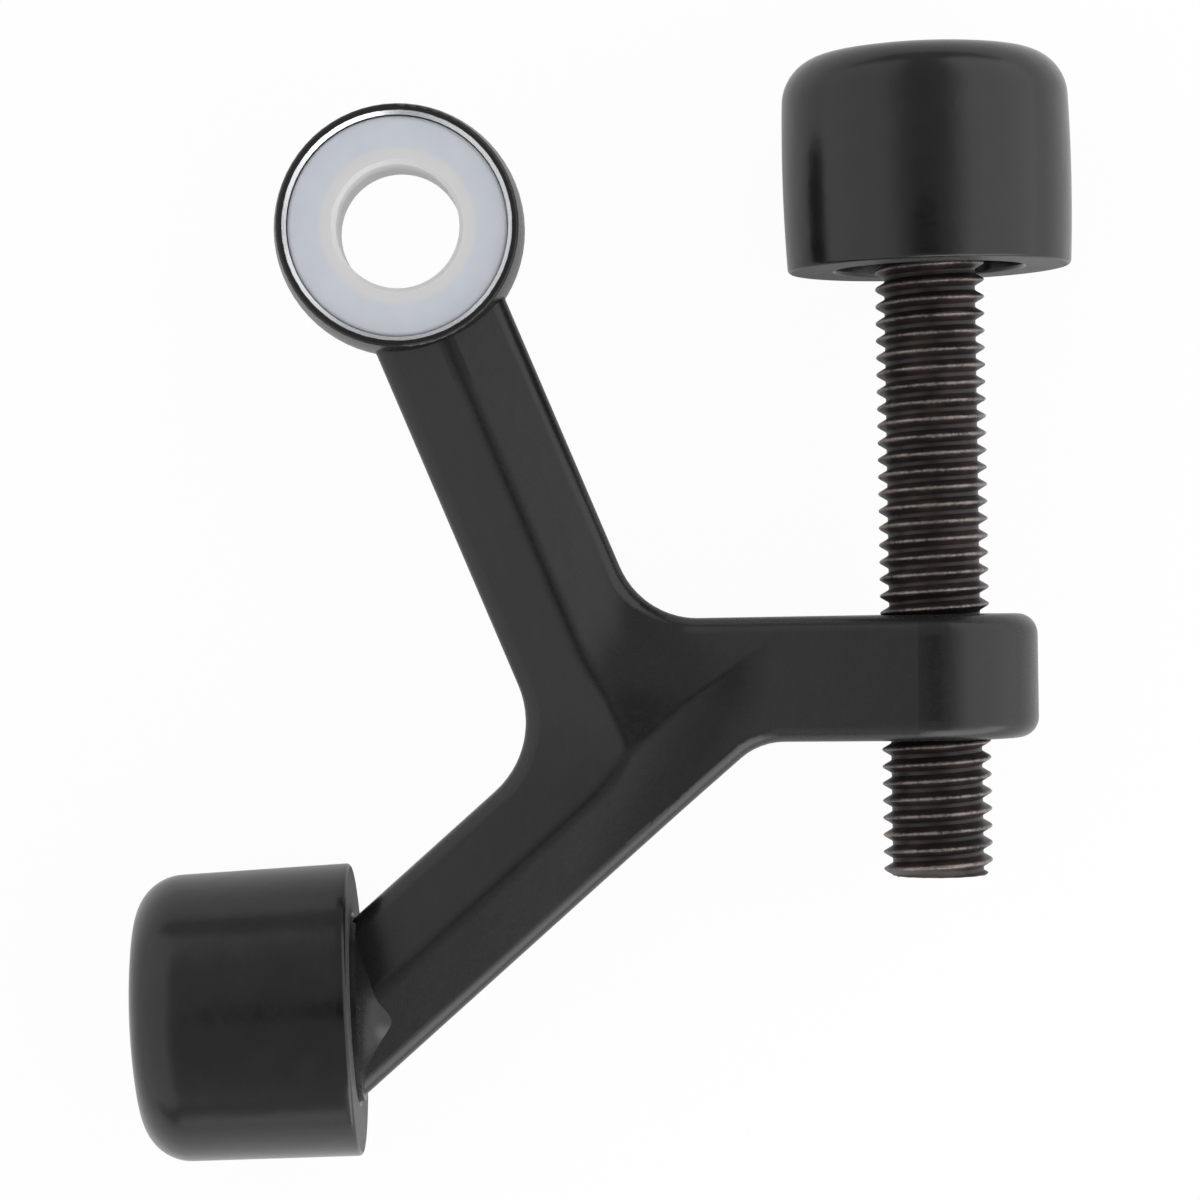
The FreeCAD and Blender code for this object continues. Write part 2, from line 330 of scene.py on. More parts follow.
@dataclass(frozen=True)
class Skeleton:
    """The lines that the arms of the casting follow, from the eye's centre, in degrees and metres."""

    upper_angle: float = -67.7
    lower_angle: float = 221.1
    upper_reach: float = 42.6 * MM
    lower_reach: float = 26.8 * MM
    right_drop: float = 33.29 * MM
    ridge_height: float = 3.7 * MM
    roof_slope: float = 16.0
    boss_radius: float = 7.5 * MM
    screw_x: float = 38.79 * MM

    @property
    def heel(self) -> Vector:
        """Where the ridges of the upper and the lower arm meet."""
        return heading(self.upper_angle) * self.upper_reach

    @property
    def stud_seat(self) -> Vector:
        """End of the lower arm, where its stud starts."""
        return self.heel + heading(self.lower_angle) * self.lower_reach

    @property
    def ramp_foot(self) -> Vector:
        """Where the ridges of the lower and the right arm meet, at the foot of the ramp."""
        back = (self.heel.y + self.right_drop) / heading(self.lower_angle).y
        return self.heel - heading(self.lower_angle) * back

    @property
    def ramp_slope(self) -> float:
        """Tangent of the ramp's angle, from its foot to where it touches the boss."""
        reach = math.hypot(self.screw_x - self.ramp_foot.x, self.ridge_height)
        return math.tan(math.asin(self.boss_radius / reach) - math.asin(self.ridge_height / reach))


@dataclass(frozen=True)
class Slope:
    """A plane of the casting: its height in millimetres and its rise along X and Y."""

    height: Value
    rise: Vector


@dataclass(frozen=True)
class RoofBlend:
    """Height of the casting's roofs where the arms meet, with soft valleys and narrow ridges.

    The solid rounds every crease with one radius. The real casting has narrower ridges and flows
    more softly in the valleys. This height gives the roofs' normals, and the mesh stays as it is.
    Roundings are in millimetres. The roofs' normals take over within the fades, by how far a face
    looks up and by the distances past the eye, the screw's axis and the stud's seat.
    """

    skeleton: Skeleton
    valley_round: float = 13.0
    left_valley_round: float = 19.5
    ridge_round: float = 2.0
    flat_round: float = 3.2
    reach_factor: float = 0.75
    facing_fade: Spot = (0.9, 0.955)
    eye_fade: Spot = (11.3 * MM, 13.0 * MM)
    screw_fade: Spot = (-4.0 * MM, -6.0 * MM)
    stud_fade: Spot = (-3.8 * MM, -6.0 * MM)
    foot_fade: float = 2.0 * MM
    heel_fade: float = 1.5 * MM

    def normal(self, place: Signal) -> Signal:
        """Normal of the soft roofs, and the solid's own on the eye, the boss, the stud and the rims.

        Args:
            place: Object coordinates in metres.

        Returns:
            The normal.
        """
        sheet = place.sheet
        bones = self.skeleton
        along_x, _, _ = sheet.axes(place)
        solid = sheet.node("ShaderNodeTexCoord", output="Normal")
        _, _, facing_up = sheet.axes(solid)
        upper_way, lower_way = heading(bones.upper_angle), heading(bones.lower_angle)
        past_seat = place.along(lower_way) - bones.stud_seat.dot(lower_way)
        share = (facing_up.ramp(*self.facing_fade)
                 * (along_x - bones.screw_x).ramp(*self.screw_fade)
                 * place.along(upper_way).ramp(*self.eye_fade)
                 * past_seat.ramp(*self.stud_fade))
        soft = sheet.bump(self._height(place), 1.0 * MM, sheet.vector(0.0, 0.0, 1.0))
        return sheet.blend_normals(share, solid, soft)

    def _height(self, place: Signal) -> Signal:
        """Height of the roofs.

        Args:
            place: Object coordinates in metres.

        Returns:
            The height in millimetres.
        """
        bones = self.skeleton
        along_x, along_y, _ = place.sheet.axes(place)
        fall = math.tan(math.radians(bones.roof_slope))
        upper_left, upper_right, lower_left, lower_right = (
            self._slope(place, bones.heel, angle + side, fall)
            for angle in (bones.upper_angle, bones.lower_angle) for side in (-90.0, 90.0))
        right_top = self._slope(place, bones.ramp_foot, 90.0, fall)
        ramp = self._slope(place, bones.ramp_foot, 180.0, bones.ramp_slope)
        level = Slope(bones.ridge_height / MM, Vector())

        reach, valley, ridge, edge = self._reach, self.valley_round, self.ridge_round, self.flat_round
        above_foot, past_heel = along_y - bones.ramp_foot.y, bones.heel.x - along_x
        upper_reach = above_foot.ramp(-self.foot_fade, self.foot_fade, reach(upper_left, level, edge),
                                      reach(upper_left, upper_right, ridge))
        lower_reach = past_heel.ramp(-self.heel_fade, self.heel_fade, reach(lower_right, level, edge),
                                     reach(lower_right, lower_left, ridge))
        ramp_reach = above_foot.ramp(-self.foot_fade, self.foot_fade, reach(ramp, lower_right, valley),
                                     reach(ramp, right_top, valley))

        flat = right_top.height.softly_at_most(level.height, reach(right_top, level, valley))
        inside = upper_right.height.softly_at_least(flat, reach(upper_right, right_top, valley))
        upper = upper_left.height.softly_at_most(inside, upper_reach)
        left_reach = reach(upper_left, lower_left, self.left_valley_round)
        left = upper.softly_at_least(lower_left.height, left_reach)
        arms = left.softly_at_most(lower_right.height, lower_reach)
        return arms.softly_at_least(ramp.height, ramp_reach)

    def _reach(self, one: Slope, other: Slope, radius: float) -> float:
        """Difference in height at which a rounding of a radius between two slopes starts."""
        return self.reach_factor * radius * (one.rise - other.rise).length_squared

    def _slope(self, place: Signal, ridge_point: Vector, downhill: float, fall: float) -> Slope:
        """Plane that falls in a direction, in degrees, from a point on its ridge."""
        rise = heading(downhill) * -fall
        return Slope(place.along(rise / MM)
                     + (self.skeleton.ridge_height - ridge_point.dot(rise)) / MM, rise)


@dataclass(frozen=True)
class SatinBlackCasting(Finish):
    """Satin black coat on the zinc casting, turned bright inside the eye.

    The eye is machined after it is coated, so its recesses and bore show bare metal with the rings
    of the tool. The chamfer's outer edge is where the coat ends.
    """

    eye_centre: Vector
    bare_radius: float
    blend: RoofBlend
    name = "satin_black_casting"
    coat_colour = colour(0.0098, 0.0098, 0.0103)
    dusty_colour = colour(0.0124, 0.0124, 0.0128)
    zinc_colour = colour(0.72, 0.72, 0.73)
    coat_roughness = 0.27
    zinc_roughness = 0.24
    uneven_gloss = 0.08
    dust_fade = (0.45, 0.8)
    coat_edge = 0.02 * MM
    edge_wander = 0.08 * MM
    edge_grain = 0.5 * MM
    skin_grain = 0.35 * MM
    skin_relief = 0.003 * MM
    cast_waves = 3.2 * MM
    wave_relief = 0.03 * MM
    tool_rings = 0.09 * MM
    ring_relief = 0.004 * MM

    def shader_inputs(self, sheet: NodeSheet) -> dict[str, Any]:
        """Coat everywhere, bare metal within the eye's bare radius.

        Args:
            sheet: The material's sheet.

        Returns:
            The shader's inputs.
        """
        radius = sheet.off_axis(self.eye_centre)
        ragged = radius + (sheet.grain(self.edge_grain) - 0.5) * self.edge_wander
        bare = ragged.ramp(self.bare_radius + self.coat_edge, self.bare_radius - self.coat_edge)
        grain = sheet.grain(self.skin_grain, 3.0)
        waves = sheet.grain(self.cast_waves)
        rings = (radius * (FULL_TURN / self.tool_rings)).maths("SINE") * 0.5 + 0.5
        skin = sheet.bump(grain, self.skin_relief, self.blend.normal(sheet.place()))
        coat = sheet.bump(waves, self.wave_relief, skin)
        zinc = sheet.bump(rings, self.ring_relief)
        dusty = sheet.blend(grain.ramp(*self.dust_fade), self.coat_colour, self.dusty_colour)
        rough = (grain + waves - 1.0) * self.uneven_gloss + self.coat_roughness
        return {
            "Base Color": sheet.blend(bare, dusty, self.zinc_colour),
            "Metallic": bare,
            "Roughness": rough + bare * (self.zinc_roughness - rough),
            "Normal": sheet.blend_normals(bare, coat, zinc),
            "IOR": 1.48,
        }


@dataclass(frozen=True)
class NaturalNylon(Finish):
    """Milky nylon of the bushings: bluish over the metal, warmer and lighter on the thick hub, partly
    its own tone and partly painted light shining through from the bore.
    """

    centre: Vector
    hub_radius: float
    name = "natural_nylon"
    flange_colour = colour(0.605, 0.635, 0.69)
    cloud_colour = colour(0.635, 0.66, 0.715)
    hub_and_through_light_colour = colour(0.69, 0.68, 0.685)
    roughness = 0.38
    fine_gloss = 0.1
    cloud_fade = (0.3, 0.75)
    hub_inside = 0.15 * MM
    hub_outside = 0.35 * MM
    hub_wander = 0.25 * MM
    cloud_size = 2.4 * MM
    cloud_relief = 0.01 * MM
    fine_size = 0.12 * MM
    fine_relief = 0.0015 * MM
    scatter_depth = 0.9 * MM

    def shader_inputs(self, sheet: NodeSheet) -> dict[str, Any]:
        """Colour by distance from the pin's axis, with faint clouds and a hub lightened partly by
        painted light from the bore.

        Args:
            sheet: The material's sheet.

        Returns:
            The shader's inputs.
        """
        clouds = sheet.grain(self.cloud_size)
        fine = sheet.grain(self.fine_size)
        radius = sheet.off_axis(self.centre) + (clouds - 0.5) * self.hub_wander
        # The hub is painted lighter than the flange: partly the thick nylon's own tone, partly painted
        # light shining through from the bore.
        flange = radius.ramp(self.hub_radius - self.hub_inside, self.hub_radius + self.hub_outside)
        cloudy = sheet.blend(clouds.ramp(*self.cloud_fade), self.flange_colour, self.cloud_colour)
        return {
            "Base Color": sheet.blend(flange, self.hub_and_through_light_colour, cloudy),
            "Roughness": fine * self.fine_gloss + self.roughness,
            "Normal": sheet.bump(fine, self.fine_relief, sheet.bump(clouds, self.cloud_relief)),
            "Subsurface Weight": 0.35,
            "Subsurface Radius": (1.0, 1.0, 1.1),
            "Subsurface Scale": self.scatter_depth,
            "IOR": 1.53,
        }


@dataclass(frozen=True)
class BlackOxideThread(Finish):
    """Brown-black oxide on the rolled thread, lighter along its crests, partly from wear and partly as a
    painted highlight.
    """

    name = "black_oxide_thread"
    oxide_colour = colour(0.016, 0.0125, 0.012)
    brown_colour = colour(0.042, 0.028, 0.025)
    crest_wear_and_highlight_colour = colour(0.26, 0.225, 0.21)
    roughness = 0.3
    grain_gloss = 0.18
    crest_wear_and_highlight_gloss = -0.12
    sheared_gloss = 0.2
    brown_fade = (0.35, 0.75)
    crest_wear_and_highlight_fade = (0.8, 1.1)
    break_up = 0.5
    grain_size = 0.3 * MM
    grain_relief = 0.012 * MM
    patch_size = 2.0 * MM
    sheared_share = 0.4

    def shader_inputs(self, sheet: NodeSheet) -> dict[str, Any]:
        """Colour and gloss by the crest attribute, broken up by grain.

        Args:
            sheet: The material's sheet.

        Returns:
            The shader's inputs.
        """
        crest = sheet.attribute("crest")
        sheared = sheet.attribute("sheared")
        grain = sheet.grain(self.grain_size, 3.0, 0.6)
        patches = sheet.grain(self.patch_size, 3.0)
        # Crests are painted lighter: partly worn bare steel, partly a painted highlight along each
        # crest.
        rubbed_and_highlit = (crest + (grain + patches - 1.0) * self.break_up).ramp(*self.crest_wear_and_highlight_fade)
        wear_and_highlight = rubbed_and_highlit.at_least(sheared * (patches * self.sheared_share))
        oxide = sheet.blend(patches.ramp(*self.brown_fade), self.oxide_colour, self.brown_colour)
        return {
            "Base Color": sheet.blend(wear_and_highlight, oxide, self.crest_wear_and_highlight_colour),
            "Metallic": wear_and_highlight * 0.6 + 0.05,
            "Roughness": (grain * self.grain_gloss + wear_and_highlight * self.crest_wear_and_highlight_gloss
                          + sheared * self.sheared_gloss + self.roughness),
            "Normal": sheet.bump(grain, self.grain_relief),
            "IOR": 1.4,
        }


@dataclass(frozen=True)
class MouldedRubber(Finish):
    """Satin black rubber, rougher on the cut face of the lip and greyer there, partly its own dusty tone
    and partly a painted reflection of the white table.
    """

    name = "moulded_rubber"
    rubber_colour = colour(0.0052, 0.0051, 0.0054)
    hazy_colour = colour(0.008, 0.0078, 0.0082)
    cut_face_and_reflection_colour = colour(0.085, 0.085, 0.088)
    pit_colour = colour(0.03, 0.03, 0.031)
    roughness = 0.15
    grain_gloss = 0.06
    wave_gloss = 0.05
    cut_gloss = 0.3
    pit_fade = (0.42, 0.66)
    haze_fade = (0.3, 0.8)
    grain_size = 0.22 * MM
    grain_relief = 0.004 * MM
    wave_size = 2.2 * MM
    wave_relief = 0.03 * MM

    def shader_inputs(self, sheet: NodeSheet) -> dict[str, Any]:
        """Fine mould texture, with a mottled grey on the cut face that is partly a painted reflection of
        the white table.

        Args:
            sheet: The material's sheet.

        Returns:
            The shader's inputs.
        """
        cut = sheet.attribute("cut_face")
        grain = sheet.grain(self.grain_size, 3.0, 0.6)
        waves = sheet.grain(self.wave_size)
        # Grey of the cut face: partly the cut rubber's own tone, partly a painted reflection of the
        # white table seen at a grazing angle.
        cut_face_and_reflection_tone = sheet.blend(grain.ramp(*self.pit_fade), self.pit_colour, self.cut_face_and_reflection_colour)
        body = sheet.blend(waves.ramp(*self.haze_fade), self.rubber_colour, self.hazy_colour)
        return {
            "Base Color": sheet.blend(cut, body, cut_face_and_reflection_tone),
            "Roughness": (grain * self.grain_gloss + waves * self.wave_gloss
                          + cut * self.cut_gloss + self.roughness),
            "Normal": sheet.bump(grain, self.grain_relief, sheet.bump(waves, self.wave_relief)),
            "IOR": 1.5,
        }


def round_stretch(centre: Spot, radius: float, begin: float, finish: float, steps: int) -> list[Spot]:
    """Points on an arc of an outline.

    Args:
        centre: The arc's centre as (along, out).
        radius: Its radius.
        begin: First angle in degrees from the along axis.
        finish: Last angle.
        steps: Number of chords.

    Returns:
        The points from the first angle to the last.
    """
    points = []
    for step in range(steps + 1):
        turn = math.radians(begin + (finish - begin) * step / steps)
        points.append((centre[0] + radius * math.cos(turn), centre[1] + radius * math.sin(turn)))
    return points


def stretch(start: Spot, finish: Spot, steps: int, belly: float = 0.0) -> list[Spot]:
    """Points inside a run of an outline, without its ends, straight or bulging out by a belly."""
    shares = [step / steps for step in range(1, steps)]
    return [(start[0] + (finish[0] - start[0]) * share,
             start[1] + (finish[1] - start[1]) * share + 4 * belly * share * (1 - share))
            for share in shares]


@dataclass
class Lathe:
    """Turns an outline of (along, out) points about an axis of length 1 into a closed mesh."""

    centre: Vector
    axis: Vector
    segments: int

    def __post_init__(self) -> None:
        """Set two directions square to the axis."""
        self.across = self.axis.orthogonal().normalized()
        self.beside = self.axis.cross(self.across)

    def point(self, along: float, out: float, turn: float) -> Vector:
        """Place of an outline's point at a turn about the axis."""
        spoke = self.across * math.cos(turn) + self.beside * math.sin(turn)
        return self.centre + self.axis * along + spoke * out

    def turn_into(self, mesh: bmesh.types.BMesh, outline: list[Spot]) -> list[list]:
        """Add the turned outline, which starts and ends on the axis.

        Args:
            mesh: Mesh that gets the faces.
            outline: Points from one pole to the other, the outside first.

        Returns:
            One list of vertices for each point of the outline.
        """
        turns = [FULL_TURN * k / self.segments for k in range(self.segments)]
        rings = []
        for along, out in outline:
            spread = turns if out > 0 else turns[:1]
            rings.append([mesh.verts.new(self.point(along, out, turn)) for turn in spread])
        for inner, outer in zip(rings, rings[1:]):
            for k in range(self.segments):
                following = (k + 1) % self.segments
                around = [inner[k % len(inner)], inner[following % len(inner)],
                          outer[following % len(outer)], outer[k % len(outer)]]
                mesh.faces.new(list(dict.fromkeys(around)))
        return rings


def placed(name: str, data: bpy.types.ID) -> bpy.types.Object:
    """Put a new object into the scene.

    Args:
        name: Its name.
        data: Its mesh or camera.

    Returns:
        The object, at the origin.
    """
    made = bpy.data.objects.new(name, data)
    bpy.context.scene.collection.objects.link(made)
    return made


def dress(mesh: bpy.types.Mesh, finish: bpy.types.Material) -> None:
    """Make a finish the only one of a mesh."""
    mesh.materials.clear()
    mesh.materials.append(finish)


@dataclass(frozen=True)
class Piece:
    """A mesh of its own that rides on a body and stands for a solid."""

    name: str
    mesh: bpy.types.Mesh
    finish: bpy.types.Material
    slot: Slot

    def settle(self, body: Body, node: Node) -> None:
        """Put the piece into the scene on its body and hide the solid that it stands for.

        Args:
            body: The body that it rides on.
            node: The solid that it stands for.
        """
        dress(self.mesh, self.finish)
        thing = placed(self.name, self.mesh)
        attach(thing, body.value)
        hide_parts(node.value)
        faces = len(self.mesh.polygons)
        log.info("%s: %d faces, stands for %s on %s", self.name, faces, node.value, body.value)


def finished_mesh(name: str, mesh: bmesh.types.BMesh, sharp_angle: float = 35.0,
                  same_place: float = 1e-8) -> bpy.types.Mesh:
    """Turn an edited mesh into a mesh with smooth faces and sharp creases.

    Args:
        name: Name of the new mesh.
        mesh: The edited mesh, which is freed.
        sharp_angle: Fold in degrees from which an edge stays sharp.
        same_place: Distance within which vertices are welded.

    Returns:
        The finished mesh, with its faces pointing outwards.
    """
    bmesh.ops.remove_doubles(mesh, verts=mesh.verts, dist=same_place)
    bmesh.ops.recalc_face_normals(mesh, faces=mesh.faces)
    for edge in mesh.edges:
        edge.smooth = len(edge.link_faces) == 2 and edge.calc_face_angle() < math.radians(sharp_angle)
    for face in mesh.faces:
        face.smooth = True
    made = bpy.data.meshes.new(name)
    mesh.to_mesh(made)
    mesh.free()
    return made


@dataclass(frozen=True)
class BumperForm:
    """Sizes of a moulded bumper, from the middle of its open lip along its axis."""

    rim_centre: Vector
    axis: Vector
    rim_radius: float
    belly: float
    length: float = 16.4 * MM
    shoulder_radius: float = 10.46 * MM
    corner_radius: float = 3.5 * MM
    dome_radius: float = 45.0 * MM
    lip_depth: float = 3.4 * MM
    mouth_radius: float = 6.85 * MM
    rim_round: float = 0.3 * MM
    groove_radius: float = 8.102 * MM
    groove_width: float = 3.323 * MM
    cut_roughness: float = 0.03 * MM
    lumps_per_metre: float = 2200.0
    grit_per_metre: float = 5200.0
    grit_share: float = 0.5
    dome_steps: int = 10
    corner_steps: int = 12
    side_steps: int = 24
    edge_steps: int = 4
    cut_steps: int = 8
    segments: int = 192

    def outline(self) -> tuple[list[Spot], int, int]:
        """Outline from the dome's pole to the pole inside.

        Returns:
            The points, and the first and last point of the cut face at the lip.
        """
        corner = self.corner_radius
        edge = self.rim_round
        dome_centre = self.length - self.dome_radius
        corner_out = self.shoulder_radius - corner
        corner_along = dome_centre + math.sqrt((self.dome_radius - corner) ** 2 - corner_out ** 2)
        lean = math.degrees(math.atan2(corner_out, corner_along - dome_centre))
        points = round_stretch((dome_centre, 0.0), self.dome_radius, 0.0, lean, self.dome_steps)[:-1]
        points[0] = (self.length, 0.0)
        points += round_stretch((corner_along, corner_out), corner, lean, 90.0, self.corner_steps)
        points += stretch((corner_along, self.shoulder_radius), (edge, self.rim_radius),
                          self.side_steps, self.belly)
        points += round_stretch((edge, self.rim_radius - edge), edge, 90.0, 180.0, self.edge_steps)
        first_cut = len(points) - 1
        points += stretch((0.0, self.rim_radius - edge), (0.0, self.mouth_radius + edge), self.cut_steps)
        last_cut = len(points)
        points += round_stretch((edge, self.mouth_radius + edge), edge, 180.0, 270.0, self.edge_steps)
        back = self.lip_depth + self.groove_width
        points += [(self.lip_depth, self.mouth_radius), (self.lip_depth, self.groove_radius),
                   (back, self.groove_radius), (back, 0.0)]
        return points, first_cut, last_cut


@dataclass(frozen=True)
class MouldedBumper:
    """Rubber cap that is pulled over a disc head."""

    name: str
    form: BumperForm
    finish: bpy.types.Material

    def piece(self) -> Piece:
        """Turn the outline and roughen the cut face.

        Returns:
            The cap.
        """
        form = self.form
        outline, first_cut, last_cut = form.outline()
        mesh = bmesh.new()
        layer = mesh.verts.layers.float.new("cut_face")
        rings = Lathe(form.rim_centre, form.axis, form.segments).turn_into(mesh, outline)
        for index in range(first_cut, last_cut + 1):
            inside = first_cut < index < last_cut
            for vertex in rings[index]:
                vertex[layer] = 1.0
                if inside:
                    lump = noise.noise(vertex.co * form.lumps_per_metre)
                    grit = noise.noise(vertex.co * form.grit_per_metre) * form.grit_share
                    vertex.co += form.axis * (form.cut_roughness * abs(lump + grit))
        return Piece(self.name, finished_mesh(self.name, mesh), self.finish, Slot.RUBBER)


@dataclass(frozen=True)
class ThreadForm:
    """Sizes of the screw's rolled thread and disc head.

    The profile is in shares of the lead from the crest's middle. Fades are distances from the tip.
    """

    axis_x: float
    tip_y: float
    head_y: float
    head_end_y: float
    head_radius: float
    lead: float = 1.25 * MM
    crest_radius: float = 3.99 * MM
    root_radius: float = 3.32 * MM
    crest_height: float = -38.30 * MM
    crest_end: float = 1 / 16
    root_start: float = 6 / 16
    end_chamfer: float = 0.5 * MM
    head_edge_round: float = 0.5 * MM
    head_edge_steps: int = 5
    spare_turns: int = 2
    closing_turns: float = 0.8
    dent_depth: float = 0.12 * MM
    dents_per_metre: float = 900.0
    dent_ring: float = 12.0 * MM
    wear_and_highlight_tip_fade: Spot = (0.1 * MM, 0.6 * MM)
    sheared_fade: Spot = (0.7 * MM, 0.15 * MM)
    weld: float = 1e-7
    seed: float = 7.0
    columns: int = 96
    rows_per_turn: int = 16


@dataclass(frozen=True)
class ThreadedScrew:
    """Steel screw: a Geometry Nodes thread and a turned disc head, joined into one piece."""

    form: ThreadForm
    finish: bpy.types.Material
    name = "threaded_screw"
    socket_kinds = {float: "NodeSocketFloat", int: "NodeSocketInt",
                    bpy.types.Material: "NodeSocketMaterial"}

    def piece(self) -> Piece:
        """Roll the thread and turn the head.

        Returns:
            The screw.
        """
        mesh = bmesh.new()
        thread = self._thread_mesh()
        mesh.from_mesh(thread)
        bpy.data.meshes.remove(thread)
        self._add_head(mesh)
        return Piece(self.name, finished_mesh(self.name, mesh), self.finish, Slot.STEEL)

    def _inputs(self) -> dict[str, Any]:
        """Inputs of the thread's tree.

        Returns:
            Each input's value by its name.
        """
        form = self.form
        turns = math.ceil((form.head_y - form.tip_y) / form.lead) + 2 * form.spare_turns
        crest_steps = (form.crest_height - form.tip_y) / form.lead
        sizes = ("axis_x", "tip_y", "head_y", "lead", "crest_radius", "root_radius", "end_chamfer",
                 "columns", "seed")
        inputs = {name.replace("_", " ").title(): getattr(form, name) for name in sizes}
        return inputs | {"Crest Phase": crest_steps - math.floor(crest_steps), "Turns": turns,
                         "Rows": turns * form.rows_per_turn, "Finish": self.finish}

    def _tree(self) -> bpy.types.NodeTree:
        """Node tree of the thread.

        A flat grid is rolled into a helix: its rows run along the thread, so the crests stay
        sharp. Rows past an end are drawn in to the axis and close it.

        Returns:
            The tree, with named inputs for the screw's sizes.
        """
        form = self.form
        tree = bpy.data.node_groups.new("rolled_thread", "GeometryNodeTree")
        sheet = NodeSheet(tree)
        for name, value in self._inputs().items():
            tree.interface.new_socket(name, in_out="INPUT", socket_type=self.socket_kinds[type(value)])
        tree.interface.new_socket("Geometry", in_out="OUTPUT", socket_type="NodeSocketGeometry")
        given = sheet.node("NodeGroupInput").socket.node.outputs
        size = {name: Signal(sheet, given[name]) for name in self._inputs()}

        grid = sheet.node("GeometryNodeMeshGrid",
                          {"Size X": 1.0, "Size Y": 1.0, "Vertices X": size["Columns"] + 1,
                           "Vertices Y": size["Rows"] + 1})
        across, along, _ = sheet.axes(sheet.node("GeometryNodeInputPosition"))
        share = across + 0.5
        row_turns = (along + 0.5) * size["Turns"] - form.spare_turns
        raw = (row_turns + share) * size["Lead"]
        span = size["Head Y"] - size["Tip Y"]
        held = raw.at_least(0.0).at_most(span)

        step = (row_turns - size["Crest Phase"] + 0.5).maths("FRACT")
        from_crest = abs(step - 0.5).at_least(form.crest_end).at_most(form.root_start)
        flank = (from_crest - form.crest_end) / (form.root_start - form.crest_end)
        thread_radius = size["Crest Radius"] - flank * (size["Crest Radius"] - size["Root Radius"])
        chamfered = size["Crest Radius"] - size["End Chamfer"] + held
        past = (-raw).at_least(raw - span).at_least(0.0) / (size["Lead"] * form.closing_turns)
        drawn_in = 1.0 - past.at_most(1.0)
        turn = share * FULL_TURN
        sine, cosine = turn.maths("SINE"), turn.maths("COSINE")
        dent_place = sheet.vector(sine * form.dent_ring, raw, cosine * form.dent_ring)
        dents = sheet.node("ShaderNodeTexNoise",
                           {"Vector": dent_place, "W": size["Seed"], "Scale": form.dents_per_metre,
                            "Detail": 2.0}, noise_dimensions="4D") - 0.5
        crest = (1.0 - flank) * drawn_in
        radius = thread_radius.at_most(chamfered) * drawn_in - abs(dents) * crest * form.dent_depth

        rolled = sheet.vector(size["Axis X"] + radius * sine, size["Tip Y"] + held, radius * cosine)
        # The crest mark carries the crests' wear and painted highlight, faded towards the tip.
        marks = {"crest": crest * held.ramp(*form.wear_and_highlight_tip_fade, 0.5, 1.0),
                 "sheared": held.ramp(*form.sheared_fade)}
        marked = grid
        for name, mark in marks.items():
            marked = sheet.node("GeometryNodeStoreNamedAttribute",
                                {"Geometry": marked, "Name": name, "Value": mark},
                                data_type="FLOAT", domain="POINT")
        shaped = sheet.node("GeometryNodeSetPosition", {"Geometry": marked, "Position": rolled})
        welded = sheet.node("GeometryNodeMergeByDistance",
                            {"Geometry": shaped, "Distance": form.weld})
        real = sheet.node("GeometryNodeRealizeInstances", {"Geometry": welded})
        dressed = sheet.node("GeometryNodeSetMaterial",
                             {"Geometry": real, "Material": size["Finish"]})
        sheet.node("NodeGroupOutput", {"Geometry": dressed})
        return tree

    def _thread_mesh(self) -> bpy.types.Mesh:
        """Run the thread's tree once.

        Returns:
            The thread as a plain mesh.
        """
        blank = placed("thread_blank", bpy.data.meshes.new("thread_blank"))
        tree = self._tree()
        modifier = blank.modifiers.new("rolled_thread", "NODES")
        modifier.node_group = tree
        sockets = {item.name: item.identifier for item in tree.interface.items_tree
                   if item.item_type == "SOCKET" and item.in_out == "INPUT"}
        for name, value in self._inputs().items():
            modifier[sockets[name]] = value
        bpy.context.view_layer.update()
        evaluated = blank.evaluated_get(bpy.context.evaluated_depsgraph_get())
        made = bpy.data.meshes.new_from_object(evaluated)
        bpy.data.objects.remove(blank)
        return made

    def _add_head(self, mesh: bmesh.types.BMesh) -> None:
        """Turn the disc head.

        Args:
            mesh: Mesh of the thread, which gets the head.
        """
        form = self.form
        edge, steps = form.head_edge_round, form.head_edge_steps
        depth = form.head_end_y - form.head_y
        outline = [(0.0, 0.0)]
        outline += round_stretch((edge, form.head_radius - edge), edge, 180.0, 90.0, steps)
        outline += round_stretch((depth - edge, form.head_radius - edge), edge, 90.0, 0.0, steps)
        outline.append((depth, 0.0))
        start = Vector((form.axis_x, form.head_y, 0.0))
        Lathe(start, Vector((0.0, 1.0, 0.0)), form.columns).turn_into(mesh, outline)


@dataclass(frozen=True)
class Bracket:
    """The casting with its two bushings, which keep the meshes of their solids."""

    nodes: dict[str, bpy.types.Object]
    recess_chamfer = 0.33 * MM
    hub_radius = 5.55 * MM

    def dress(self) -> None:
        """Give the three their finishes, with the eye's place taken from a bushing's box."""
        low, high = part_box(Node.UPPER_BUSHING.value)
        eye_centre = (low + high) / 2
        bare_radius = (high.x - low.x) / 2 + self.recess_chamfer
        coat = SatinBlackCasting(eye_centre, bare_radius, RoofBlend(Skeleton())).material()
        nylon = NaturalNylon(eye_centre, self.hub_radius).material()
        finishes = {Node.CASTING: coat, Node.UPPER_BUSHING: nylon, Node.LOWER_BUSHING: nylon}
        for node, finish in finishes.items():
            dress(self.nodes[node.value].data, finish)
            log.info("%s keeps its mesh and gets %s", node.value, finish.name)


